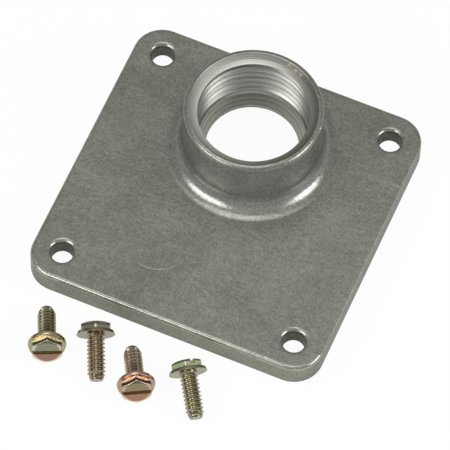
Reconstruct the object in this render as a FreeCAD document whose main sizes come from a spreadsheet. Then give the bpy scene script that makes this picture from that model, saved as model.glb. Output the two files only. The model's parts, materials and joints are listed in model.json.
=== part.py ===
import FreeCAD, Part
import math
import os
import Sketcher

# Lengths in millimetres, angles in degrees. The origin is the plate's centre on the seating plane,
# with Z up along the hub and Y towards the hub. A screw's place is its washer's centre on the floor,
# the angle its head points to and its turn about its own axis.
SIZES = {
    "plate_width": 82.55,
    "plate_depth": 82.55,
    "plate_height": 7.14,
    "corner_radius": 8.0,
    "edge_round": 1.1,
    "top_wall": 2.3,
    "skirt_wall": 3.0,
    "pan_round": 1.5,
    "hub_diameter": 37.4,
    "hub_draft": 0.15,
    "hub_height": 26.2,
    "flare_radius": 5.0,
    "rear_land": 0.8,
    "rim_round": 1.3,
    "rim_land": 0.15,
    "mouth_wall": 1.45,
    "mouth_flare": 1.35,
    "mouth_depth": 2.0,
    "seat_drop": 0.48,
    "thread_diameter": 29.7,
    "thread_bottom": 11.0,
    "throat_diameter": 25.0,
    "throat_land": 0.5,
    "bell_radius": 1.5,
    "hole_diameter": 5.9,
    "hole_inset": 8.275,
    "hole_lip": 1.3,
    "boss_diameter": 11.2,
    "boss_recess": 1.95,
    "screw_diameter": 4.83,
    "screw_length": 12.2,
    "screw_tip_length": 1.8,
    "screw_tip_diameter": 3.2,
    "washer_diameter": 10.15,
    "washer_height": 0.9,
    "washer_taper": 0.3,
    "hex_flats": 7.7,
    "hex_height": 2.1,
    "hex_chamfer": 0.4,
    "slot_width": 1.25,
    "slot_depth": 1.2,
    "screw_1_x": -25.8,
    "screw_1_y": -58.7,
    "screw_1_angle": -65.0,
    "screw_1_turn_angle": 0.0,
    "screw_2_x": -15.3,
    "screw_2_y": -51.1,
    "screw_2_angle": 115.0,
    "screw_2_turn_angle": 0.0,
    "screw_3_x": 0.1,
    "screw_3_y": -60.1,
    "screw_3_angle": -61.2,
    "screw_3_turn_angle": 0.0,
    "screw_4_x": 11.2,
    "screw_4_y": -51.7,
    "screw_4_angle": 123.7,
    "screw_4_turn_angle": -69.0,
}
SCREWS = ("screw_1", "screw_2", "screw_3", "screw_4")

doc = FreeCAD.newDocument("conduit_hub")
sheet = doc.addObject("Spreadsheet::Sheet", "sizes")
for row, (name, size) in enumerate(SIZES.items(), start=1):
    sheet.set(f"A{row}", name)
    sheet.set(f"B{row}", str(size))
    sheet.setAlias(f"B{row}", name)
doc.recompute()

# Places that follow from the sizes
HUB_Y = "(sizes.plate_depth / 2 - sizes.rear_land - sizes.flare_radius - sizes.hub_diameter / 2)"
RIM_R = "(sizes.hub_diameter / 2 - sizes.hub_height * tan(sizes.hub_draft))"
MOUTH_R = f"({RIM_R} - sizes.mouth_wall)"
HOLE_X = "(sizes.plate_width / 2 - sizes.hole_inset)"
HOLE_Y = "(sizes.plate_depth / 2 - sizes.hole_inset)"
CEILING = "(sizes.plate_height - sizes.top_wall)"
FULL_THREAD = "(sizes.screw_length - sizes.screw_tip_length)"
HEAD_HEIGHT = "(sizes.washer_height + sizes.hex_height)"


def origin_plane(body, role):
    return next(item for item in body.Origin.OriginFeatures if item.Role == role)


def new_sketch(body, name, role):
    sketch = body.newObject("Sketcher::SketchObject", name)
    sketch.AttachmentSupport = [(origin_plane(body, role), "")]
    sketch.MapMode = "FlatFace"
    return sketch


def bind(target, **rules):
    for field, rule in rules.items():
        target.setExpression(field, rule)


def set_length(sketch, kind, name, rule, *parts):
    index = sketch.addConstraint(Sketcher.Constraint(kind, *parts, 1.0))
    sketch.renameConstraint(index, name)
    sketch.setExpression(f"Constraints.{name}", rule)


def add_circle(sketch, x, y, radius):
    sketch.addGeometry(Part.Circle(FreeCAD.Vector(x, y, 0), FreeCAD.Vector(0, 0, 1), radius))


def centred_rectangle(sketch, width, depth):
    x = float(sheet.plate_width) / 2
    y = float(sheet.plate_depth) / 2
    points = [FreeCAD.Vector(*corner, 0) for corner in ((-x, -y), (x, -y), (x, y), (-x, y))]
    for start, end in zip(points, points[1:] + points[:1]):
        sketch.addGeometry(Part.LineSegment(start, end))
    for line in range(4):
        sketch.addConstraint(Sketcher.Constraint("Coincident", line, 2, (line + 1) % 4, 1))
        sketch.addConstraint(Sketcher.Constraint("Vertical" if line % 2 else "Horizontal", line))
    sketch.addConstraint(Sketcher.Constraint("Symmetric", 0, 1, 2, 1, -1, 1))
    set_length(sketch, "DistanceX", "width", width, 0, 1, 0, 2)
    set_length(sketch, "DistanceY", "depth", depth, 1, 1, 1, 2)


def hole_circles(sketch, diameter):
    # The sizes drive one circle, and the other three mirror it.
    inset = float(sheet.hole_inset)
    x = float(sheet.plate_width) / 2 - inset
    y = float(sheet.plate_depth) / 2 - inset
    for corner in ((x, y), (-x, y), (-x, -y), (x, -y)):
        add_circle(sketch, *corner, inset / 2)
    set_length(sketch, "DistanceX", "across", HOLE_X, -1, 1, 0, 3)
    set_length(sketch, "DistanceY", "along", HOLE_Y, -1, 1, 0, 3)
    set_length(sketch, "Diameter", "diameter", diameter, 0)
    sketch.addConstraint(Sketcher.Constraint("Symmetric", 0, 3, 1, 3, -2))
    sketch.addConstraint(Sketcher.Constraint("Symmetric", 0, 3, 3, 3, -1))
    sketch.addConstraint(Sketcher.Constraint("Symmetric", 0, 3, 2, 3, -1, 1))
    for other in (1, 2, 3):
        sketch.addConstraint(Sketcher.Constraint("Equal", 0, other))


def fillet(body, name, base, radius, wanted):
    edges = [f"Edge{n}" for n, edge in enumerate(base.Shape.Edges, start=1) if wanted(edge)]
    if not edges:
        raise ValueError(f"{name} finds no edge")
    feature = body.newObject("PartDesign::Fillet", name)
    feature.Base = (base, edges)
    bind(feature, Radius=radius)
    doc.recompute()
    return feature


def upright(edge):
    return abs(edge.tangentAt(edge.FirstParameter).z) > 0.99


def level(edge, height):
    box = edge.BoundBox
    return box.ZLength < 1e-4 and abs(box.ZMin - height) < 1e-4


def ring(edge, height, least, most):
    is_circle = isinstance(edge.Curve, Part.Circle)
    return is_circle and level(edge, height) and least < edge.Curve.Radius < most


def removes(before, after):
    if after.Shape.Volume > before.Shape.Volume - 1.0:
        raise ValueError(f"{after.Label} removes nothing")


# Hub plate: one casting, with an open pan below and the hub above
plate = doc.addObject("PartDesign::Body", "hub_plate")
plate_top = float(sheet.plate_height)
hub_top = float(sheet.hub_height)
hub_radius = float(sheet.hub_diameter) / 2
thread_radius = float(sheet.thread_diameter) / 2

outline = new_sketch(plate, "outline", "XY_Plane")
centred_rectangle(outline, "sizes.plate_width", "sizes.plate_depth")
slab = plate.newObject("PartDesign::Pad", "slab")
slab.Profile = outline
bind(slab, Length="sizes.plate_height")
doc.recompute()
corners = fillet(plate, "corners", slab, "sizes.corner_radius", upright)

hub_circle = new_sketch(plate, "hub_circle", "XY_Plane")
add_circle(hub_circle, 0, hub_radius, hub_radius)
hub_circle.addConstraint(Sketcher.Constraint("PointOnObject", 0, 3, -2))
set_length(hub_circle, "DistanceY", "offset", HUB_Y, -1, 1, 0, 3)
set_length(hub_circle, "Diameter", "diameter", "sizes.hub_diameter", 0)
hub = plate.newObject("PartDesign::Pad", "hub")
hub.Profile = hub_circle
bind(hub, Length="sizes.hub_height", TaperAngle="-sizes.hub_draft")
doc.recompute()
flare = fillet(
    plate,
    "flare",
    hub,
    "sizes.flare_radius",
    lambda edge: ring(edge, plate_top, thread_radius, hub_radius),
)
# The outer top edge runs round the slab, and where the flare reaches it, into the flare.
top_edges = fillet(
    plate,
    "top_edges",
    flare,
    "sizes.edge_round",
    lambda edge: level(edge, plate_top) and not ring(edge, plate_top, thread_radius, math.inf),
)
# The rim's round leaves a land beside the mouth.
rim = fillet(
    plate,
    "rim",
    top_edges,
    "min(sizes.rim_round; sizes.mouth_wall - sizes.rim_land)",
    lambda edge: ring(edge, hub_top, thread_radius, hub_radius),
)

pan_outline = new_sketch(plate, "pan_outline", "XY_Plane")
centred_rectangle(
    pan_outline,
    "sizes.plate_width - 2 * sizes.skirt_wall",
    "sizes.plate_depth - 2 * sizes.skirt_wall",
)
pan = plate.newObject("PartDesign::Pocket", "pan")
pan.Profile = pan_outline
pan.Reversed = True
bind(pan, Length=CEILING)
doc.recompute()
removes(rim, pan)
pan_side = float(sheet.plate_width) / 2 - float(sheet.skirt_wall)
pan_corners = fillet(
    plate,
    "pan_corners",
    pan,
    "sizes.corner_radius - sizes.skirt_wall",
    lambda edge: upright(edge) and abs(abs(edge.CenterOfMass.x) - pan_side) < 1e-3,
)
pan_ceiling = fillet(
    plate,
    "pan_ceiling",
    pan_corners,
    "sizes.pan_round",
    lambda edge: level(edge, plate_top - float(sheet.top_wall)),
)

boss_circles = new_sketch(plate, "boss_circles", "XY_Plane")
hole_circles(boss_circles, "sizes.boss_diameter")
boss_circles.setExpression("AttachmentOffset.Base.z", "sizes.boss_recess")
bosses = plate.newObject("PartDesign::Pad", "bosses")
bosses.Profile = boss_circles
bind(bosses, Length=f"{CEILING} - sizes.boss_recess + sizes.top_wall / 2")
doc.recompute()

# Half section of the bore, from the pan up: bell, throat, stop shoulder, thread at its inner diameter,
# seat, and the mouth's tapered wall. It is drawn roughly, and its dimensions then set the sizes.
bore_profile = new_sketch(plate, "bore_profile", "YZ_Plane")
bore_profile.setExpression("AttachmentOffset.Base.x", HUB_Y)
rough = (
    (0, 0),
    (15, 0),
    (15, 6),
    (12, 9),
    (12, 10),
    (15, 12),
    (15, 24),
    (16, 25),
    (17, 26),
    (17, 28),
    (0, 28),
)
points = [FreeCAD.Vector(radius, height, 0) for radius, height in rough]
bell_circle = Part.Circle(FreeCAD.Vector(15, 9, 0), FreeCAD.Vector(0, 0, 1), 3)
for line, (start, end) in enumerate(zip(points, points[1:] + points[:1])):
    if line == 2:
        bore_profile.addGeometry(Part.ArcOfCircle(bell_circle, math.pi, 1.5 * math.pi))
    else:
        bore_profile.addGeometry(Part.LineSegment(start, end))
# The arc runs anticlockwise, against the way round.
begins = [2 if line == 2 else 1 for line in range(len(rough))]
ends = [3 - begin for begin in begins]
for line in range(len(rough)):
    after = (line + 1) % len(rough)
    bore_profile.addConstraint(Sketcher.Constraint("Coincident", line, ends[line], after, begins[after]))
for line in (1, 3, 5, 8):
    bore_profile.addConstraint(Sketcher.Constraint("Vertical", line))
bore_profile.addConstraint(Sketcher.Constraint("Horizontal", 9))
bore_profile.addConstraint(Sketcher.Constraint("Coincident", 0, 1, -1, 1))
bore_profile.addConstraint(Sketcher.Constraint("PointOnObject", 0, 2, -1))
bore_profile.addConstraint(Sketcher.Constraint("PointOnObject", 9, 2, -2))
bore_profile.addConstraint(Sketcher.Constraint("Horizontal", 2, 3, 2, 1))
bore_profile.addConstraint(Sketcher.Constraint("Vertical", 2, 3, 2, 2))
set_length(bore_profile, "Radius", "bell", "sizes.bell_radius", 2)
set_length(bore_profile, "DistanceY", "ceiling", CEILING, -1, 1, 2, 2)
set_length(bore_profile, "DistanceX", "throat", "sizes.throat_diameter / 2", -1, 1, 3, 1)
set_length(bore_profile, "DistanceY", "land", "sizes.throat_land", 3, 1, 3, 2)
set_length(bore_profile, "DistanceX", "thread", "sizes.thread_diameter / 2", -1, 1, 5, 1)
set_length(bore_profile, "DistanceY", "thread_bottom", "sizes.thread_bottom", -1, 1, 5, 1)
set_length(bore_profile, "DistanceX", "seat", "sizes.mouth_flare", 6, 1, 6, 2)
set_length(bore_profile, "DistanceY", "seat_drop", "sizes.seat_drop", 6, 1, 6, 2)
set_length(bore_profile, "DistanceX", "mouth", MOUTH_R, -1, 1, 7, 2)
set_length(bore_profile, "DistanceY", "mouth_depth", "sizes.mouth_depth", 6, 1, 7, 2)
set_length(bore_profile, "DistanceY", "mouth_top", "sizes.hub_height", -1, 1, 7, 2)
set_length(bore_profile, "DistanceY", "above", "sizes.mouth_depth", 8, 1, 8, 2)
bore = plate.newObject("PartDesign::Groove", "bore")
bore.Profile = bore_profile
bore.ReferenceAxis = (bore_profile, ["V_Axis"])
bore.Angle = 360
doc.recompute()
removes(bosses, bore)

screw_circles = new_sketch(plate, "screw_circles", "XY_Plane")
hole_circles(screw_circles, "sizes.hole_diameter")
screw_holes = plate.newObject("PartDesign::Pocket", "screw_holes")
screw_holes.Profile = screw_circles
screw_holes.Reversed = True
bind(screw_holes, Length="2 * sizes.plate_height")
doc.recompute()
removes(bore, screw_holes)
hole_lips = fillet(
    plate,
    "hole_lips",
    screw_holes,
    "sizes.hole_lip",
    lambda edge: ring(edge, plate_top, 0, float(sheet.boss_diameter) / 2),
)
removes(screw_holes, hole_lips)
plate.Tip = hole_lips

# Screw: its origin is the underside of the washer, with the head towards Z and the slot along Y
shank = doc.addObject("Part::Cylinder", "shank")
bind(shank, Radius="sizes.screw_diameter / 2", Height=FULL_THREAD)
shank.setExpression("Placement.Base.z", f"-{FULL_THREAD}")
tip = doc.addObject("Part::Cone", "tip")
bind(
    tip,
    Radius1="sizes.screw_tip_diameter / 2",
    Radius2="sizes.screw_diameter / 2",
    Height="sizes.screw_tip_length",
)
tip.setExpression("Placement.Base.z", "-sizes.screw_length")
washer = doc.addObject("Part::Cone", "washer")
bind(
    washer,
    Radius1="sizes.washer_diameter / 2",
    Radius2="sizes.washer_diameter / 2 - sizes.washer_taper",
    Height="sizes.washer_height",
)
prism = doc.addObject("Part::Prism", "prism")
prism.Polygon = 6
bind(prism, Circumradius="sizes.hex_flats / sqrt(3)", Height=HEAD_HEIGHT)
crown = doc.addObject("Part::Cone", "crown")
bind(
    crown,
    Radius1=f"sizes.hex_flats / 2 - sizes.hex_chamfer + 2 * {HEAD_HEIGHT}",
    Radius2="sizes.hex_flats / 2 - sizes.hex_chamfer",
    Height=HEAD_HEIGHT,
)
hex_head = doc.addObject("Part::MultiCommon", "hex_head")
hex_head.Shapes = [prism, crown]
blank = doc.addObject("Part::MultiFuse", "blank")
blank.Shapes = [shank, tip, washer, hex_head]
blank.Refine = True
slot = doc.addObject("Part::Box", "slot")
bind(slot, Length="sizes.slot_width", Width="2 * sizes.hex_flats", Height="2 * sizes.slot_depth")
slot.setExpression("Placement.Base.x", "-sizes.slot_width / 2")
slot.setExpression("Placement.Base.y", "-sizes.hex_flats")
slot.setExpression("Placement.Base.z", f"{HEAD_HEIGHT} - sizes.slot_depth")
screw = doc.addObject("Part::Cut", "screw")
screw.Base = blank
screw.Tool = slot
doc.recompute()
removes(blank, screw)

# A screw lies on the rim of its washer and the end of its full thread.
TILT = f"atan((sizes.washer_diameter - sizes.screw_diameter) / 2 / {FULL_THREAD})"
copies = []
for name in SCREWS:
    copy = doc.addObject("App::Link", name)
    copy.LinkedObject = screw
    centre = f"vector(sizes.{name}_x; sizes.{name}_y; sizes.washer_diameter / 2 * cos({TILT}))"
    lying = f"rotationy(90 deg - {TILT}) * rotationz(sizes.{name}_turn_angle)"
    bind(copy, Placement=f"placement({centre}; rotationz(sizes.{name}_angle) * {lying})")
    copies.append(copy)
screws = doc.addObject("Part::Compound", "mounting_screws")
screws.Links = copies
doc.recompute()

for item in doc.Objects:
    if "Invalid" in item.State or "Error" in item.State:
        raise ValueError(f"{item.Label} is {item.State}")

os.makedirs("parts", exist_ok=True)
for part, solids in ((plate, 1), (screws, len(SCREWS))):
    shape = part.Shape
    if shape.isNull() or not shape.isValid() or len(shape.Solids) != solids:
        raise ValueError(f"{part.Label} is not {solids} valid solids")
    shape.exportStep(f"parts/{part.Label}.step")
    print(part.Label, len(shape.Solids), "solids", round(shape.Volume / 1000, 2), "cm3")
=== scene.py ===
import json
import math

import bmesh
import bpy
from mathutils import Matrix, Vector


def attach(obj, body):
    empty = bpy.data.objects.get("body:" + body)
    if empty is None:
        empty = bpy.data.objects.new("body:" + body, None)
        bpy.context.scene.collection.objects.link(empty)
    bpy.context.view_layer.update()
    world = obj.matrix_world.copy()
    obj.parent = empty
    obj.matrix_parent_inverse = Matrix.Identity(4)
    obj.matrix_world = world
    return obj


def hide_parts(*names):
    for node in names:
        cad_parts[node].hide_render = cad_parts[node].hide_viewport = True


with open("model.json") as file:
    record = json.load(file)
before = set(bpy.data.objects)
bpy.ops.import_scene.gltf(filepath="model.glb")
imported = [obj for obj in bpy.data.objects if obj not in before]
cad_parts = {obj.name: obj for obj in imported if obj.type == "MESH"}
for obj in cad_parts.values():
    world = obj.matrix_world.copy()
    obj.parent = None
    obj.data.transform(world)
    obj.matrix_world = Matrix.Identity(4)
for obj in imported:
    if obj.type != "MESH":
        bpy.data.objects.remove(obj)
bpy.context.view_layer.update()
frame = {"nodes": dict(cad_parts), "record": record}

scene = bpy.context.scene
mm = 0.001
touch = 0.02 * mm  # how close a vertex lies to the form it belongs to
mergeReach = 1e-6  # vertices this close, in metres, become one
trimReach = 1e-8  # how close to a cutting plane counts as on it
sharpAngle = math.radians(32)  # an edge that bends further stays sharp
roundSteps = 3
mounts = {mount["name"]: mount for mount in frame["record"]["mounts"]}
hubMount = mounts["hub_thread"]
holeMount = mounts["screw_holes"]


class Wire:
    # A socket of a node tree, so that shader maths reads as plain sums.
    def __init__(self, tree, socket=None):
        self.tree = tree
        self.socket = socket

    def add(self, kind, settings=None, inputs=None, output=0):
        node = self.tree.nodes.new(kind)
        for name, value in (settings or {}).items():
            setattr(node, name, value)
        for key, value in (inputs or {}).items():
            if isinstance(value, Wire):
                self.tree.links.new(value.socket, node.inputs[key])
            else:
                node.inputs[key].default_value = value
        return Wire(self.tree, node.outputs[output] if node.outputs else None)

    def math(self, operation, first, second=0.0):
        return self.add("ShaderNodeMath", {"operation": operation}, {0: first, 1: second})

    def __add__(self, other):
        return self.math("ADD", self, other)

    __radd__ = __add__

    def __sub__(self, other):
        return self.math("SUBTRACT", self, other)

    def __rsub__(self, other):
        return self.math("SUBTRACT", other, self)

    def __mul__(self, other):
        return self.math("MULTIPLY", self, other)

    __rmul__ = __mul__

    def between(self, low, high):  # 0 below low, 1 above high, smooth between them
        return self.add(
            "ShaderNodeMapRange",
            {"interpolation_type": "SMOOTHSTEP"},
            {"Value": self, "From Min": low, "From Max": high},
        )

    def above(self, limits):  # the same, with both limits in mm
        return self.between(limits[0] * mm, limits[1] * mm)

    def below(self, limits):
        return 1.0 - self.above(limits)

    def tint(self, first, second):  # from one colour to the other as this goes from 0 to 1
        return self.add("ShaderNodeMix", {"data_type": "RGBA"}, {0: self, 6: first, 7: second}, 2)

    def shade(self, colour, share):  # the colour times share as this goes from 0 to 1
        settings = {"data_type": "RGBA", "blend_type": "MULTIPLY"}
        return self.add("ShaderNodeMix", settings, {0: self, 6: colour, 7: share}, 2)

    def noise(self, coords, scale, detail, roughness):
        return self.add(
            "ShaderNodeTexNoise",
            None,
            {"Vector": coords, "Scale": scale, "Detail": detail, "Roughness": roughness},
        )

    def stretched(self, coords, turn, stretch, shift):  # coordinates turned about Z, long along X
        return self.add(
            "ShaderNodeMapping",
            None,
            {
                "Vector": coords,
                "Location": (shift, shift, 0.0),
                "Rotation": (0.0, 0.0, math.radians(turn)),
                "Scale": (1.0 / stretch, 1.0, 1.0),
            },
        )

    def vector(self, operation, first, second, output=0):
        return self.add("ShaderNodeVectorMath", {"operation": operation}, {0: first, 1: second}, output)

    def part(self, coords, index):
        return self.add("ShaderNodeSeparateXYZ", None, {0: coords}, index)

    def near(self, coords, point, limits):  # 1 close to a point, 0 past the limits, all in mm
        place = tuple(part * mm for part in point)
        return self.vector("DISTANCE", coords, place, "Value").below(limits)


def newMaterial(name):
    material = bpy.data.materials.new(name)
    material.use_nodes = True
    tree = material.node_tree
    shader = tree.nodes["Principled BSDF"]
    shader.inputs["Metallic"].default_value = 1.0
    return material, shader, Wire(tree)


def feed(wire, shader, socket):
    wire.tree.links.new(wire.socket, shader.inputs[socket])


def rgb(red, green, blue):
    return (red, green, blue, 1.0)


# The casting's material
castFinish = {
    "darkTone": rgb(0.174, 0.179, 0.151),
    "lightTone": rgb(0.368, 0.372, 0.325),
    "toneMiddle": 0.43,
    # noises in that tone: scale, detail, roughness, share
    "noises": {
        "grain": (4600.0, 3.0, 0.7, 3.8),
        "mottle": (1500.0, 3.0, 0.6, 1.6),
        "blotch": (380.0, 3.0, 0.55, 0.6),
        "broad": (60.0, 2.0, 0.5, 0.9),
    },
    "hubSheenShare": rgb(1.35, 1.38, 1.48),  # of the plate's tone: the hub painted lighter, a painted sheen standing in for reflected light
    "edgeWearAndHighlight": rgb(1.27, 1.27, 1.23),  # edges painted bright: partly worn, partly a painted highlight
    "skirtShare": rgb(0.94, 0.94, 0.88),
    # painted shade in each screw hole
    "holeShadeShare": rgb(0.46, 0.47, 0.45),
    "boreTone": rgb(0.42, 0.422, 0.387),  # cut metal in the bore
    "boreCover": 0.85,
    # painted light on the shoulder below the thread
    "shoulderLightShare": rgb(1.5, 1.5, 1.5),
    "mouthLightAndShade": (rgb(0.74, 0.74, 0.705), rgb(0.28, 0.28, 0.25)),  # painted light on the left, painted shade on the right
    "seatShare": rgb(0.94, 0.94, 0.91),
    "metallic": 0.65,
    "boreMetallic": 0.25,  # more than the rest
    "mouthMetallic": 0.3,  # less than the bore
    "grazingTint": rgb(0.42, 0.42, 0.42),
    "roughness": 0.21,
    "mottleRough": 0.08,
    "edgePolish": 0.06,
    "boreRough": 0.07,
    "mouthRough": 0.08,
    "bumpStrength": 0.3,
    "pitDepth": 0.00002,
    "relief": {"grain": 0.6, "mottle": 0.8, "scratches": 0.4, "nick": 6.0},  # shares in the bump
    # limits in mm between which one finish goes over into the next: heights, unless the name says otherwise
    "zones": {
        "hubFrom": (7.4, 8.6),
        "hubTo": (24.6, 25.4),
        "edgeFrom": (5.9, 6.3),
        "edgeTo": (7.0, 7.12),
        "skirtTo": (5.5, 6.0),
        "holeRadius": (3.0, 3.15),
        "boreRadius": (17.0, 17.3),
        "boreFrom": (6.0, 8.5),
        "shoulderTo": (10.9, 11.3),
        "mouthFrom": (23.9, 24.15),
        "mouthAcross": (-16.0, 14.0),  # from left to right
        "seatTo": (24.68, 24.8),
    },
    # rings that the cutter left in the bore
    "rings": {
        "noise": (2300.0, 2.0, 0.6),
        "limits": (0.38, 0.62),
        "strength": 0.8,
        "share": rgb(0.55, 0.55, 0.53),
    },
    # marks of the thread's run-out on the shoulder, in mm
    "runOut": {
        "spacing": 2.1,
        "width": (0.16, 0.26),  # in shares of the spacing
        "from": (6.9, 7.1),
        "to": (10.9, 11.0),
        "radius": (14.9, 15.0),
        "strength": 0.5,
        "share": rgb(0.45, 0.45, 0.45),
    },
    # short fine scratches, bent a little, in four directions
    "shortScratches": {
        "turns": ((24.0, 0.0), (-47.0, 0.31), (78.0, 0.67), (-8.0, 0.93)),  # degrees, shift
        "stretch": 40.0,
        "noise": (3000.0, 1.0, 0.5),
        "limits": (0.65, 0.74),
        "patchNoise": (110.0, 2.0, 0.5),
        "patchLimits": (0.45, 0.60),
        "swayScale": 70.0,
        "sway": (0.004, 0.004, 0.004),
    },
    # long curved scratches on the plate's top, in mm
    "curvedScratches": {
        # centre, radius, middle of the arc, its reach, its strength
        "arcs": (
            ((-11.0, -19.4), 9.0, (-8.6, -28.0), 6.5, 1.8),
            ((-30.0, -2.0), 16.0, (-22.0, -15.8), 7.0, 0.5),
            ((40.0, -30.0), 21.0, (24.5, -15.9), 8.0, 0.5),
            ((-12.0, -60.0), 34.0, (8.0, -32.5), 9.0, 0.5),
        ),
        "line": (0.08, 0.2),
        "fadeFrom": 0.6,  # share of the reach
        "from": (7.0, 7.1),
        "limits": (0.36, 0.5),
    },
    "scratchCover": 0.5,
    "scratchTone": rgb(0.46, 0.46, 0.42),
    # on the rim, in mm: a nick on the right, and copper-coloured specks at the back
    "rim": {
        "nick": (18.2, 18.5, 25.75),
        "nickReach": (0.12, 0.42),
        "nickTone": rgb(0.86, 0.84, 0.78),
        "specks": ((3.3, 32.8, 25.5), (5.2, 32.3, 25.5), (6.8, 31.8, 25.6)),
        "speckReach": (0.3, 1.1),
        "speckLimits": (0.45, 0.58),
        "speckCover": 0.8,
        "speckTone": rgb(0.88, 0.68, 0.54),
    },
}


def scratchMarks(wire, coords, flat, height, mottle):
    short = castFinish["shortScratches"]
    sway = wire.add("ShaderNodeTexNoise", None, {"Vector": coords, "Scale": short["swayScale"]}, "Color")
    bent = wire.vector("ADD", coords, wire.vector("MULTIPLY", sway, short["sway"]))
    marks = 0.0
    for turn, shift in short["turns"]:
        lines = wire.noise(wire.stretched(bent, turn, short["stretch"], shift), *short["noise"])
        patch = wire.noise(wire.stretched(coords, 0.0, 1.0, shift), *short["patchNoise"])
        marks = marks + lines.between(*short["limits"]) * patch.between(*short["patchLimits"])
    curved = castFinish["curvedScratches"]
    for centre, radius, middle, reach, strength in curved["arcs"]:
        away = wire.vector("DISTANCE", flat, (centre[0] * mm, centre[1] * mm, 0.0), "Value")
        arc = wire.math("ABSOLUTE", away - radius * mm).below(curved["line"])
        arc = arc * wire.near(flat, (*middle, 0.0), (reach * curved["fadeFrom"], reach))
        arc = arc * height.above(curved["from"])
        marks = marks + arc * mottle.between(*curved["limits"]) * strength
    return marks


def cutMarks(wire, colour, bore, fromAxis, height):
    rings = castFinish["rings"]
    section = wire.add("ShaderNodeCombineXYZ", None, {0: fromAxis, 1: height})
    ring = wire.noise(section, *rings["noise"]).between(*rings["limits"])
    colour = (bore * ring * rings["strength"]).shade(colour, rings["share"])
    marks = castFinish["runOut"]
    turns = wire.math("FRACT", height * (1.0 / (marks["spacing"] * mm)))
    mark = (1.0 - turns.between(*marks["width"])) * height.below(marks["to"])
    mark = mark * height.above(marks["from"]) * fromAxis.below(marks["radius"])
    return (mark * marks["strength"]).shade(colour, marks["share"])


def makeCastZinc():
    finish = castFinish
    zone = finish["zones"]
    material, shader, wire = newMaterial("castZinc")
    shader.inputs["Specular Tint"].default_value = finish["grazingTint"]
    coords = wire.add("ShaderNodeTexCoord", output="Object")
    height = wire.part(coords, 2)
    flat = wire.vector("MULTIPLY", coords, (1.0, 1.0, 0.0))
    noises = {}
    tone = finish["toneMiddle"]
    for name, (scale, detail, roughness, share) in finish["noises"].items():
        noises[name] = wire.noise(coords, scale, detail, roughness)
        tone = tone + (noises[name] - 0.5) * share  # a noise swings about 0.5
    colour = tone.tint(finish["darkTone"], finish["lightTone"])
    # painted sheen on the hub, painted shade in each hole, edges painted bright (partly worn, partly a
    # painted highlight), and the skirt a little darker towards the bottom
    hubSheen = height.above(zone["hubFrom"]) * height.below(zone["hubTo"])
    colour = hubSheen.shade(colour, finish["hubSheenShare"])
    corner = wire.vector("ABSOLUTE", flat, (0.0, 0.0, 0.0))
    spacing = holeMount["dims"]
    holePlace = (spacing["spacing_x_mm"] / 2, spacing["spacing_y_mm"] / 2, 0.0)
    # painted shade in each screw hole
    shadedHoles = wire.near(corner, holePlace, zone["holeRadius"])
    colour = shadedHoles.shade(colour, finish["holeShadeShare"])
    edges = height.above(zone["edgeFrom"]) * height.below(zone["edgeTo"]) * (1.0 - shadedHoles)
    # edges painted bright: partly worn, partly a painted highlight
    colour = edges.shade(colour, finish["edgeWearAndHighlight"])
    colour = height.below(zone["skirtTo"]).shade(colour, finish["skirtShare"])
    # cut metal in the bore, its mouth and its seat
    fromAxis = wire.vector("DISTANCE", flat, (*hubMount["pos_m"][:2], 0.0), "Value")
    bore = fromAxis.below(zone["boreRadius"]) * height.above(zone["boreFrom"])
    colour = (bore * finish["boreCover"]).tint(colour, finish["boreTone"])
    mouth = bore * height.above(zone["mouthFrom"])
    # the mouth: painted light on its left side, painted shade on its right
    mouthLight = wire.part(coords, 0).above(zone["mouthAcross"]).tint(*finish["mouthLightAndShade"])
    colour = mouth.tint(colour, mouthLight)
    seat = mouth * height.below(zone["seatTo"])
    colour = seat.shade(colour, finish["seatShare"])
    colour = cutMarks(wire, colour, bore, fromAxis, height)
    # painted light on the shoulder below the thread
    shoulder = bore * height.below(zone["shoulderTo"])
    colour = shoulder.shade(colour, finish["shoulderLightShare"])
    # scratches, and the marks on the rim
    scratches = scratchMarks(wire, coords, flat, height, noises["mottle"])
    colour = (scratches * finish["scratchCover"]).tint(colour, finish["scratchTone"])
    rim = finish["rim"]
    patchy = noises["mottle"].between(*rim["speckLimits"])
    specks = 0.0
    for place in rim["specks"]:
        specks = specks + wire.near(coords, place, rim["speckReach"]) * patchy
    colour = (specks * rim["speckCover"]).tint(colour, rim["speckTone"])
    nick = wire.near(coords, rim["nick"], rim["nickReach"])
    colour = nick.tint(colour, rim["nickTone"])
    feed(colour, shader, "Base Color")
    metal = finish["metallic"] + bore * finish["boreMetallic"] - mouth * finish["mouthMetallic"]
    feed(metal, shader, "Metallic")
    rough = finish["roughness"] + noises["mottle"] * finish["mottleRough"] - edges * finish["edgePolish"]
    rough = rough + bore * finish["boreRough"] + mouth * finish["mouthRough"]
    feed(rough, shader, "Roughness")
    depths = finish["relief"]
    relief = noises["grain"] * depths["grain"] + noises["mottle"] * depths["mottle"]
    relief = relief - scratches * depths["scratches"] - nick * depths["nick"]
    bump = wire.add(
        "ShaderNodeBump",
        None,
        {"Strength": finish["bumpStrength"], "Distance": finish["pitDepth"], "Height": relief},
    )
    feed(bump, shader, "Normal")
    return material


def nodeCopy(name):
    mesh = bmesh.new()
    mesh.from_mesh(frame["nodes"][name].data)
    bmesh.ops.remove_doubles(mesh, verts=mesh.verts, dist=mergeReach)
    return mesh


def finishPiece(mesh, name, material, node):
    bmesh.ops.recalc_face_normals(mesh, faces=mesh.faces)
    for face in mesh.faces:
        face.smooth = True
        face.material_index = 0
    for edge in mesh.edges:
        edge.smooth = not edge.is_manifold or edge.calc_face_angle() < sharpAngle
    data = bpy.data.meshes.new(name)
    mesh.to_mesh(data)
    mesh.free()
    data.materials.clear()
    data.materials.append(material)
    piece = bpy.data.objects.new(name, data)
    scene.collection.objects.link(piece)
    normals = piece.modifiers.new("faceNormals", "WEIGHTED_NORMAL")
    normals.keep_sharp = True
    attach(piece, "root")
    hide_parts(node)
    print("made", name, len(data.polygons), "faces")


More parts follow.
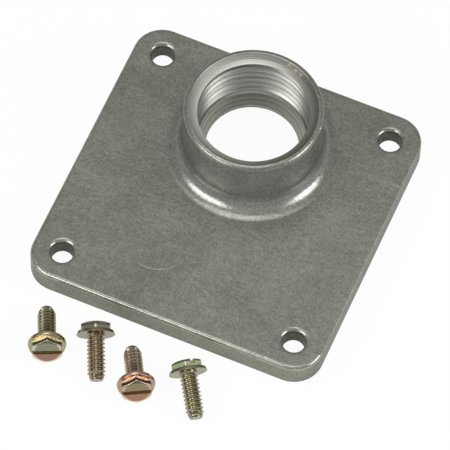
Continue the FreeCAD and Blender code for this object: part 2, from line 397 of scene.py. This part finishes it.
def threadSleeve(flank, pitch, low, high, stepsPerTurn):
    # flank: radius and rise over half a pitch, mirrored; one turn is spun, then repeated past both ends
    profile = flank + [(radius, pitch - rise) for radius, rise in reversed(flank)]
    sleeve = bmesh.new()
    verts = [sleeve.verts.new((radius, 0.0, low - pitch + rise)) for radius, rise in profile]
    edges = [sleeve.edges.new(pair) for pair in zip(verts, verts[1:])]
    bmesh.ops.spin(
        sleeve,
        geom=verts + edges,
        cent=(0.0, 0.0, 0.0),
        axis=(0.0, 0.0, 1.0),
        dvec=(0.0, 0.0, pitch / stepsPerTurn),
        angle=math.tau,
        steps=stepsPerTurn,
        use_merge=False,
        use_duplicate=False,
    )
    turn = sleeve.verts[:] + sleeve.edges[:] + sleeve.faces[:]
    for count in range(1, math.ceil((high - low) / pitch) + 1):
        copied = bmesh.ops.duplicate(sleeve, geom=turn)["geom"]
        moved = [item for item in copied if isinstance(item, bmesh.types.BMVert)]
        bmesh.ops.translate(sleeve, vec=(0.0, 0.0, count * pitch), verts=moved)
    bmesh.ops.remove_doubles(sleeve, verts=sleeve.verts, dist=mergeReach)
    return sleeve


def trim(mesh, low, high):
    for height, side in ((high, 1.0), (low, -1.0)):
        bmesh.ops.bisect_plane(
            mesh,
            geom=mesh.verts[:] + mesh.edges[:] + mesh.faces[:],
            dist=trimReach,
            plane_co=(0.0, 0.0, height),
            plane_no=(0.0, 0.0, side),
            clear_outer=True,
        )


def join(mesh, other, place):
    bmesh.ops.translate(other, vec=place, verts=other.verts)
    data = bpy.data.meshes.new("joined")
    other.to_mesh(data)
    other.free()
    mesh.from_mesh(data)
    bpy.data.meshes.remove(data)


def closeGap(mesh, low, high):
    rims = [
        edge for edge in mesh.edges if edge.is_boundary and all(low < vert.co.z < high for vert in edge.verts)
    ]
    bmesh.ops.bridge_loops(mesh, edges=rims)


def roundEdges(mesh, edges, offset):
    bmesh.ops.bevel(
        mesh,
        geom=edges,
        offset=offset,
        offset_type="OFFSET",
        segments=roundSteps,
        profile=0.5,
        affect="EDGES",
        clamp_overlap=True,
        material=-1,
    )


# The casting, with the tapered pipe thread cut into its bore
hubThread = {
    "pitch": 25.4 / 11.5 * mm,
    "crest": 0.35 * mm,  # flat left at the bore's wall
    "easeFrom": 0.06 * mm,  # the crest's edge is eased from this far before it
    "easeTo": 0.02 * mm,  # to this far past it
    "easeDepth": 0.03 * mm,
    "depth": 1.35 * mm,
    "rootDepth": 0.93,  # share of the depth at which the root is eased
    "rootFrom": 0.42,  # shares of the groove's width where that and the root's flat begin
    "rootFlat": 0.47,
    "taper": 1 / 32,
    "leadFrom": 0.1 * mm,
    "leadIn": 1.1 * mm,
    "runFrom": 0.2 * mm,
    "runOut": 1.6 * mm,
    "topGap": 0.06 * mm,  # left to be bridged to the seat
    "stepsPerTurn": 144,
    "throatRadius": 12.5 * mm,
    "throatEdge": 0.22 * mm,
    "mouthEdge": 0.14 * mm,
}


def hubSleeve(radius, low, high):
    cut = hubThread
    groove = cut["pitch"] - cut["crest"]
    depth = cut["depth"]
    edge = cut["crest"] / 2
    flank = [
        (radius, 0.0),
        (radius, edge - cut["easeFrom"]),
        (radius + cut["easeDepth"], edge + cut["easeTo"]),
        (radius + depth * cut["rootDepth"], edge + groove * cut["rootFrom"]),
        (radius + depth, edge + groove * cut["rootFlat"]),
    ]
    sleeve = threadSleeve(flank, cut["pitch"], low - cut["pitch"], high, cut["stepsPerTurn"])
    for vert in sleeve.verts:
        out = vert.co.xy
        fromTop = max(0.0, high - vert.co.z)
        share = min(1.0, max(0.0, (fromTop - cut["leadFrom"]) / cut["leadIn"]))
        share *= min(1.0, max(0.0, (vert.co.z - low - cut["runFrom"]) / cut["runOut"]))
        out = out.normalized() * (radius - fromTop * cut["taper"] + (out.length - radius) * share)
        vert.co = Vector((out.x, out.y, vert.co.z))
    return sleeve


def makeCasting():
    cut = hubThread
    throat = cut["throatRadius"]
    mesh = nodeCopy("hub_plate")
    middle = Vector(hubMount["pos_m"])
    radius = hubMount["dims"]["r_mm"] * mm
    length = hubMount["dims"]["length_mm"] * mm
    low = middle.z - length / 2
    high = middle.z + length / 2
    axis = Vector((middle.x, middle.y, 0.0))

    def onCircle(vert, size):
        return abs((vert.co - axis).xy.length - size) < touch

    throatTop = max(vert.co.z for vert in mesh.verts if onCircle(vert, throat) and vert.co.z < low)

    def bored(vert):  # on the thread's wall or at the foot of the shoulder below it
        onWall = onCircle(vert, radius) and low - touch < vert.co.z < high + touch
        return onWall or (onCircle(vert, throat) and vert.co.z > throatTop - touch)

    wall = [
        face
        for face in mesh.faces
        if all(bored(vert) for vert in face.verts) and max(vert.co.z for vert in face.verts) > low - touch
    ]
    print("bore wall and shoulder", len(wall), "faces, throat from", round(throatTop / mm, 2))
    bmesh.ops.delete(mesh, geom=wall, context="FACES")
    sleeve = hubSleeve(radius, low, high)
    # the tapered wall meets the shoulder's slope a little below the plain one
    slope = (low - throatTop) / (radius - throat)
    drop = length * cut["taper"] * slope / (1.0 - cut["taper"] * slope)
    trim(sleeve, low - drop, high - cut["topGap"])
    join(mesh, sleeve, axis)
    closeGap(mesh, high - cut["topGap"] - 2 * touch, high + touch)
    closeGap(mesh, throatTop - touch, low)
    lip = [
        edge
        for edge in mesh.edges
        if all(abs(vert.co.z - throatTop) < touch / 2 and onCircle(vert, throat) for vert in edge.verts)
    ]
    roundEdges(mesh, lip, cut["throatEdge"])
    crown = max(vert.co.z for vert in mesh.verts)
    ring = [vert for vert in mesh.verts if abs(vert.co.z - crown) < touch / 4]
    mouth = min((vert.co - axis).xy.length for vert in ring)
    inner = {vert for vert in ring if onCircle(vert, mouth)}
    brim = [edge for edge in mesh.edges if edge.verts[0] in inner and edge.verts[1] in inner]
    roundEdges(mesh, brim, cut["mouthEdge"])
    print("mouth edge", len(brim), "edges rounded at radius", round(mouth / mm, 2))
    finishPiece(mesh, "hub_casting", makeCastZinc(), "hub_plate")


# The screws
screwShape = {
    "pitch": 25.4 / 24 * mm,
    "crestRadius": 2.415 * mm,
    "crestEase": 0.05 * mm,
    "rootRadius": 1.86 * mm,
    "rootEase": 0.08 * mm,
    "profileShares": (0.10, 0.17, 0.43, 0.47),  # of the pitch: root, its ease, the crest's ease, crest
    "length": 12.2 * mm,
    "fullThread": 10.4 * mm,
    "neck": 0.5 * mm,  # under the washer the shank grows to its full width
    "tipRadius": 1.6 * mm,
    "washerRadius": 5.075 * mm,
    "washerTop": 0.9 * mm,
    "washerGap": 0.05 * mm,  # left to be bridged to the washer
    "headTop": 3.0 * mm,
    "margin": 0.2 * mm,  # around one screw, to tell it from the others
    "flatAngle": math.radians(1),
    "roundAngle": math.radians(20),  # edges that bend further are rounded
    "edgeRound": 0.16 * mm,
    "domeFrom": 1.8 * mm,  # from here up the head's corners are drawn in to a round top
    "domeRadii": (4.45 * mm, 3.5 * mm),
    "domeRows": (0.01, 0.25, 0.45, 0.62, 0.76, 0.87, 0.95),  # shares of the dome's height
    "domeSector": 10.0,  # degrees from one cut to the next
    "domeReach": 1e-7,  # how close to such a cut counts as on it
    "slotReach": 0.85 * mm,
    "stepsPerTurn": 40,
}
# how each lies: washer centre in mm, the way its head points and its turn about its axis in degrees
# shift: of the noise, so that no two are alike
# plating colours: shank, painted shade between the crests as a share of it, washer, sides of the head, a
# painted dark reflection under the head's edge from a height in mm, that edge, a painted highlight on the rim
# on one side of the slot, the top on either side of it, and the bloom that drifts over shank, washer and
# sides
screwLooks = {
    "mounting_screw_1": {
        "place": (-25.8, -58.7),
        "angle": -65.0,
        "turn": 0.0,
        "shift": 0.0,
        "shank": rgb(0.43, 0.405, 0.25),
        "rootShade": rgb(0.32, 0.32, 0.32),
        "washer": rgb(0.45, 0.375, 0.24),
        "sides": rgb(0.74, 0.64, 0.49),
        "darkReflection": rgb(0.13, 0.12, 0.075),
        "darkReflectionFrom": 1.7,
        "edge": rgb(0.57, 0.53, 0.41),
        "rim": rgb(0.70, 0.64, 0.42),
        "tops": (rgb(0.31, 0.18, 0.14), rgb(0.245, 0.25, 0.175)),
        "bloom": rgb(0.33, 0.35, 0.17),
    },
    "mounting_screw_2": {
        "place": (-15.3, -51.1),
        "angle": 115.0,
        "turn": 0.0,
        "shift": 0.4,
        "shank": rgb(0.37, 0.31, 0.215),
        "rootShade": rgb(0.8, 0.8, 0.8),
        "washer": rgb(0.285, 0.27, 0.18),
        "sides": rgb(0.33, 0.29, 0.22),
        "darkReflection": rgb(0.17, 0.15, 0.115),
        "darkReflectionFrom": 2.0,
        "edge": rgb(0.42, 0.38, 0.29),
        "rim": rgb(0.42, 0.38, 0.29),
        "tops": (rgb(0.28, 0.24, 0.18), rgb(0.28, 0.24, 0.18)),
        "bloom": rgb(0.43, 0.33, 0.18),
    },
    "mounting_screw_3": {
        "place": (0.1, -60.1),
        "angle": -61.2,
        "turn": 0.0,
        "shift": 0.8,
        "shank": rgb(0.60, 0.51, 0.39),
        "rootShade": rgb(0.32, 0.32, 0.32),
        "washer": rgb(0.53, 0.34, 0.265),
        "sides": rgb(0.58, 0.41, 0.31),
        "darkReflection": rgb(0.09, 0.065, 0.04),
        "darkReflectionFrom": 1.7,
        "edge": rgb(0.52, 0.42, 0.30),
        "rim": rgb(0.70, 0.58, 0.38),
        "tops": (rgb(0.35, 0.19, 0.13), rgb(0.28, 0.22, 0.125)),
        "bloom": rgb(0.42, 0.32, 0.21),
    },
    "mounting_screw_4": {
        "place": (11.2, -51.7),
        "angle": 123.7,
        "turn": -69.0,
        "shift": 1.3,
        "shank": rgb(0.36, 0.33, 0.225),
        "rootShade": rgb(0.8, 0.8, 0.8),
        "washer": rgb(0.32, 0.295, 0.21),
        "sides": rgb(0.74, 0.92, 0.48),
        "darkReflection": rgb(0.10, 0.15, 0.06),
        "darkReflectionFrom": 2.3,
        "edge": rgb(0.22, 0.27, 0.13),
        "rim": rgb(0.22, 0.27, 0.13),
        "tops": (rgb(0.28, 0.31, 0.16), rgb(0.32, 0.35, 0.19)),
        "bloom": rgb(0.42, 0.44, 0.22),
    },
}
platingFinish = {  # shared by the four screws
    "driftMap": (37.0, 1.6),  # degrees, stretch
    "driftNoise": (260.0, 2.0, 0.5),
    "driftLimits": (0.46, 0.64),
    "bloomCover": 0.6,
    "headBloom": 0.35,  # less on the head
    "stainNoise": (520.0, 2.0, 0.5),
    "stainLimits": (0.55, 0.68),
    "stainCover": 0.3,
    "stainTone": rgb(0.40, 0.27, 0.22),
    "speckNoise": (2600.0, 3.0, 0.65),
    "speckLimits": (0.5, 0.72),
    "speckCover": 0.35,
    "speckTone": rgb(0.12, 0.10, 0.07),
    "cornerHighlight": rgb(0.92, 0.86, 0.74),
    "darkReflectionCover": 0.9,
    "slotCover": 0.9,
    "slotTone": rgb(0.46, 0.39, 0.26),
    "roughness": 0.18,
    "headPolish": 0.04,
    "speckRough": 0.14,
    "bumpStrength": 0.25,
    "pitDepth": 0.00001,
    # limits in mm on a screw's own axes: heights, unless the name says a radius or across the slot
    "zones": {
        "washerFrom": (-0.15, 0.05),
        "headRise": 0.15,
        "darkReflectionRise": 0.12,
        "upperFrom": (2.42, 2.52),
        "outerRadius": (3.35, 3.5),
        "cornerRadius": (4.2, 4.34),
        "rootRadius": (2.02, 2.3),
        "rootsTo": (-0.6, -0.4),
        "middleAcross": (-0.1, 0.1),
        "slotAcross": (0.62, 0.74),
        "slotFrom": (1.6, 1.7),
        "slotTo": (2.84, 2.94),
        "rimRadius": (3.15, 3.35),
        "rimAcross": (0.8, 1.6),
    },
}


def makePlating(name, look):
    finish = platingFinish
    zone = finish["zones"]
    material, shader, wire = newMaterial(name)
    own = wire.add("ShaderNodeAttribute", {"attribute_name": "own"}, output="Vector")  # screw's own axes
    across = wire.part(own, 0)
    along = wire.part(own, 2)
    away = wire.vector("LENGTH", wire.vector("MULTIPLY", own, (1.0, 1.0, 0.0)), (0.0, 0.0, 0.0), "Value")
    drift = wire.noise(wire.stretched(own, *finish["driftMap"], look["shift"]), *finish["driftNoise"])
    stain = wire.noise(wire.stretched(own, 0.0, 1.0, look["shift"]), *finish["stainNoise"])
    speck = wire.noise(own, *finish["speckNoise"])
    washerTop = screwShape["washerTop"]
    head = along.between(washerTop, washerTop + zone["headRise"] * mm)
    colour = along.above(zone["washerFrom"]).tint(look["shank"], look["washer"])
    colour = head.tint(colour, look["sides"])
    bloom = drift.between(*finish["driftLimits"]) * (finish["bloomCover"] - head * finish["headBloom"])
    colour = bloom.tint(colour, look["bloom"])
    # painted highlight on the hexagon's corners
    colour = (head * away.above(zone["cornerRadius"])).tint(colour, finish["cornerHighlight"])
    colour = (stain.between(*finish["stainLimits"]) * finish["stainCover"]).tint(colour, finish["stainTone"])
    # painted shade between the thread's crests
    rootShade = away.below(zone["rootRadius"]) * along.below(zone["rootsTo"])
    colour = rootShade.shade(colour, look["rootShade"])
    # a painted dark reflection under the head's edge, that edge and its top
    outside = away.above(zone["outerRadius"])
    darkReflection = along.above((look["darkReflectionFrom"] - zone["darkReflectionRise"], look["darkReflectionFrom"]))
    colour = (darkReflection * outside * finish["darkReflectionCover"]).tint(colour, look["darkReflection"])
    upper = along.above(zone["upperFrom"])
    colour = (upper * outside).tint(colour, look["edge"])
    top = across.above(zone["middleAcross"]).tint(look["tops"][1], look["tops"][0])
    colour = (upper * (1.0 - outside)).tint(colour, top)
    # the slot's walls and floor
    slot = wire.math("ABSOLUTE", across).below(zone["slotAcross"]) * along.below(zone["slotTo"])
    slot = slot * along.above(zone["slotFrom"])
    colour = (slot * finish["slotCover"]).tint(colour, finish["slotTone"])
    # painted highlight on the rim on one side of the slot
    rim = upper * away.above(zone["rimRadius"]) * across.above(zone["rimAcross"])
    colour = rim.tint(colour, look["rim"])
    colour = (speck.between(*finish["speckLimits"]) * finish["speckCover"]).tint(colour, finish["speckTone"])
    feed(colour, shader, "Base Color")
    rough = finish["roughness"] - head * finish["headPolish"] + speck * finish["speckRough"]
    feed(rough, shader, "Roughness")
    bump = wire.add(
        "ShaderNodeBump",
        None,
        {"Strength": finish["bumpStrength"], "Distance": finish["pitDepth"], "Height": speck + stain},
    )
    feed(bump, shader, "Normal")
    return material


def domeHead(mesh):
    shape = screwShape
    start = shape["domeFrom"]
    top = shape["headTop"]
    wide, narrow = shape["domeRadii"]
    sector = shape["domeSector"]
    planes = []
    for part in shape["domeRows"]:
        planes.append(((0.0, 0.0, start + (top - start) * part), (0.0, 0.0, 1.0)))
    for step in range(round(180.0 / sector)):
        turn = math.radians((step + 0.5) * sector)
        planes.append(((0.0, 0.0, 0.0), (math.cos(turn), math.sin(turn), 0.0)))
    foot = shape["washerTop"] - shape["margin"]
    for point, normal in planes:
        faces = [face for face in mesh.faces if min(vert.co.z for vert in face.verts) > foot]
        edges = {edge for face in faces for edge in face.edges}
        verts = {vert for face in faces for vert in face.verts}
        bmesh.ops.bisect_plane(
            mesh, geom=[*verts, *edges, *faces], dist=shape["domeReach"], plane_co=point, plane_no=normal
        )
    for vert in mesh.verts:
        rise = min(1.0, max(0.0, (vert.co.z - start) / (top - start)))
        limit = narrow + (wide - narrow) * math.sqrt(1.0 - rise * rise)
        if vert.co.z < start or vert.co.xy.length <= limit:
            continue
        if abs(vert.co.x) < shape["slotReach"]:  # the slot keeps its width
            vert.co.y = math.copysign(math.sqrt(limit * limit - vert.co.x * vert.co.x), vert.co.y)
        else:
            vert.co.xy = vert.co.xy.normalized() * limit


def screwSleeve():
    shape = screwShape
    pitch = shape["pitch"]
    crest = shape["crestRadius"]
    root = shape["rootRadius"]
    radii = (root, root + shape["rootEase"], crest - shape["crestEase"], crest)
    flank = [(root, 0.0)] + [(radius, pitch * share) for radius, share in zip(radii, shape["profileShares"])]
    sleeve = threadSleeve(flank, pitch, -shape["length"], 0.0, shape["stepsPerTurn"])
    for vert in sleeve.verts:
        height = vert.co.z
        away = vert.co.xy.length
        grow = max(0.0, 1.0 + height / shape["neck"])
        away = away + (crest - away) * min(1.0, grow)
        past = max(0.0, -shape["fullThread"] - height) / (shape["length"] - shape["fullThread"])
        away = min(away, crest + (shape["tipRadius"] - crest) * min(1.0, past))
        out = vert.co.xy.normalized() * away
        vert.co = Vector((out.x, out.y, height))
    trim(sleeve, -shape["length"] + touch, -shape["washerGap"])
    return sleeve


def makeScrew(name, look):
    shape = screwShape
    tilt = math.atan((shape["washerRadius"] - shape["crestRadius"]) / shape["fullThread"])
    centre = Vector((look["place"][0] * mm, look["place"][1] * mm, shape["washerRadius"] * math.cos(tilt)))
    lying = (
        Matrix.Translation(centre)
        @ Matrix.Rotation(math.radians(look["angle"]), 4, "Z")
        @ Matrix.Rotation(math.radians(90) - tilt, 4, "Y")
        @ Matrix.Rotation(math.radians(look["turn"]), 4, "Z")
    )
    mesh = nodeCopy("mounting_screws")
    bmesh.ops.transform(mesh, matrix=lying.inverted(), verts=mesh.verts)
    reach = shape["washerRadius"] + shape["margin"]
    lowest = -shape["length"] - shape["margin"]
    highest = shape["headTop"] + shape["margin"]
    others = [
        vert for vert in mesh.verts if vert.co.xy.length > reach or not lowest < vert.co.z < highest
    ]
    bmesh.ops.delete(mesh, geom=others, context="VERTS")
    shankReach = shape["crestRadius"] + touch
    shank = [
        face
        for face in mesh.faces
        if all(vert.co.xy.length < shankReach and vert.co.z < touch / 2 for vert in face.verts)
    ]
    bmesh.ops.delete(mesh, geom=shank, context="FACES")
    # flat faces made whole, then the head's edges rounded
    bmesh.ops.dissolve_limit(
        mesh,
        angle_limit=shape["flatAngle"],
        verts=mesh.verts,
        edges=mesh.edges,
        use_dissolve_boundaries=False,
    )
    sharp = [edge for edge in mesh.edges if edge.is_manifold and edge.calc_face_angle() > shape["roundAngle"]]
    roundEdges(mesh, sharp, shape["edgeRound"])
    domeHead(mesh)
    join(mesh, screwSleeve(), Vector())
    closeGap(mesh, -2 * shape["washerGap"], 2 * shape["washerGap"])
    tip = [edge for edge in mesh.edges if edge.is_boundary]
    bmesh.ops.edgeloop_fill(mesh, edges=tip)
    own = mesh.verts.layers.float_vector.new("own")
    for vert in mesh.verts:
        vert[own] = vert.co
    bmesh.ops.transform(mesh, matrix=lying, verts=mesh.verts)
    finishPiece(mesh, name, makePlating(name + "_plating", look), "mounting_screws")


makeCasting()
for screwName, screwLook in screwLooks.items():
    makeScrew(screwName, screwLook)

# Floor, light and camera
studio = {
    "floorSize": 30.0,
    "floorDrop": 0.05 * mm,  # below the part's seating plane
    "floorPaint": rgb(0.9, 0.9, 0.9),
    "floorGlow": 0.95,  # of the floor as the camera sees it
    "mirrorGlow": 0.6,  # of the floor as the metal shows it
    "white": rgb(1.0, 1.0, 1.0),
    "lowLight": 0.21,
    "highLight": 0.38,
    "softboxes": (
        # azimuth from the camera's side, elevation, distance, width, height, watts
        (-90.0, 85.0, 1.2, 0.66, 0.66, 2.8),
        (-57.0, 38.0, 1.2, 0.84, 0.52, 6.8),
        (72.0, 33.0, 1.2, 0.60, 0.60, 5.9),
    ),
}
view = {
    "azimuth": 21.42,
    "elevation": 60.6,
    "roll": 2.08,
    "distance": 1.3058,
    "lens": 394.19,
    "sensor": 36.0,
    "clipStart": 0.01,
    "target": (1.518 * mm, -4.747 * mm, 0.0),
}


def makeFloor():
    mesh = bmesh.new()
    bmesh.ops.create_grid(mesh, x_segments=1, y_segments=1, size=studio["floorSize"] / 2)
    bmesh.ops.translate(mesh, vec=(0.0, 0.0, -studio["floorDrop"]), verts=mesh.verts)
    data = bpy.data.meshes.new("floor")
    mesh.to_mesh(data)
    mesh.free()
    floor = bpy.data.objects.new("floor", data)
    scene.collection.objects.link(floor)
    material = bpy.data.materials.new("whiteFloor")
    material.use_nodes = True
    tree = material.node_tree
    tree.nodes.clear()
    wire = Wire(tree)
    seen = (
        wire.add("ShaderNodeLightPath", output="Is Camera Ray") * studio["floorGlow"]
        + wire.add("ShaderNodeLightPath", output="Is Glossy Ray") * studio["mirrorGlow"]
        + wire.add("ShaderNodeLightPath", output="Is Transmission Ray") * studio["floorGlow"]
    )
    paint = wire.add("ShaderNodeBsdfDiffuse", None, {"Color": studio["floorPaint"]})
    glow = wire.add("ShaderNodeEmission", None, {"Color": studio["white"], "Strength": 1.0})
    surface = wire.add("ShaderNodeMixShader", None, {0: seen, 1: paint, 2: glow})
    # from below the floor is clear, so that the underside shows
    back = wire.add("ShaderNodeNewGeometry", output="Backfacing")
    clear = wire.add("ShaderNodeBsdfTransparent")
    surface = wire.add("ShaderNodeMixShader", None, {0: back, 1: surface, 2: clear})
    wire.add("ShaderNodeOutputMaterial", None, {"Surface": surface})
    data.materials.append(material)


def makeSky():
    world = bpy.data.worlds.new("studioSky")
    world.use_nodes = True
    tree = world.node_tree
    tree.nodes.clear()
    wire = Wire(tree)
    height = wire.part(wire.add("ShaderNodeTexCoord", output="Generated"), 2)
    strength = studio["lowLight"] + studio["highLight"] * (height * height)
    sky = wire.add("ShaderNodeBackground", None, {"Color": studio["white"], "Strength": strength})
    wire.add("ShaderNodeOutputWorld", None, {"Surface": sky})
    scene.world = world


def towards(azimuth, elevation):  # azimuth from the front, positive to the right
    flat = math.cos(math.radians(elevation))
    turn = math.radians(azimuth)
    return Vector((math.sin(turn) * flat, -math.cos(turn) * flat, math.sin(math.radians(elevation))))


def makeSoftbox(azimuth, elevation, distance, width, height, watts):
    lamp = bpy.data.lights.new("softbox", "AREA")
    lamp.shape = "RECTANGLE"
    lamp.size = width
    lamp.size_y = height
    lamp.energy = watts
    box = bpy.data.objects.new("softbox", lamp)
    out = towards(view["azimuth"] + azimuth, elevation)
    box.location = out * distance
    box.rotation_euler = (-out).to_track_quat("-Z", "Y").to_euler()
    box.visible_camera = False
    scene.collection.objects.link(box)


def makeCamera():
    roll = math.radians(view["roll"])
    back = towards(view["azimuth"], view["elevation"])
    level = towards(view["azimuth"] + 90.0, 0.0)
    upright = back.cross(level)
    right = math.cos(roll) * level + math.sin(roll) * upright
    up = -math.sin(roll) * level + math.cos(roll) * upright
    lens = bpy.data.cameras.new("camera")
    lens.lens = view["lens"]
    lens.sensor_width = view["sensor"]
    lens.clip_start = view["clipStart"]
    camera = bpy.data.objects.new("camera", lens)
    turned = Matrix((right, up, back)).transposed().to_4x4()
    camera.matrix_world = Matrix.Translation(Vector(view["target"]) + view["distance"] * back) @ turned
    scene.collection.objects.link(camera)
    scene.camera = camera


makeFloor()
makeSky()
for softbox in studio["softboxes"]:
    makeSoftbox(*softbox)
makeCamera()
scene.view_settings.view_transform = "Standard"
print("floor, light and camera set")
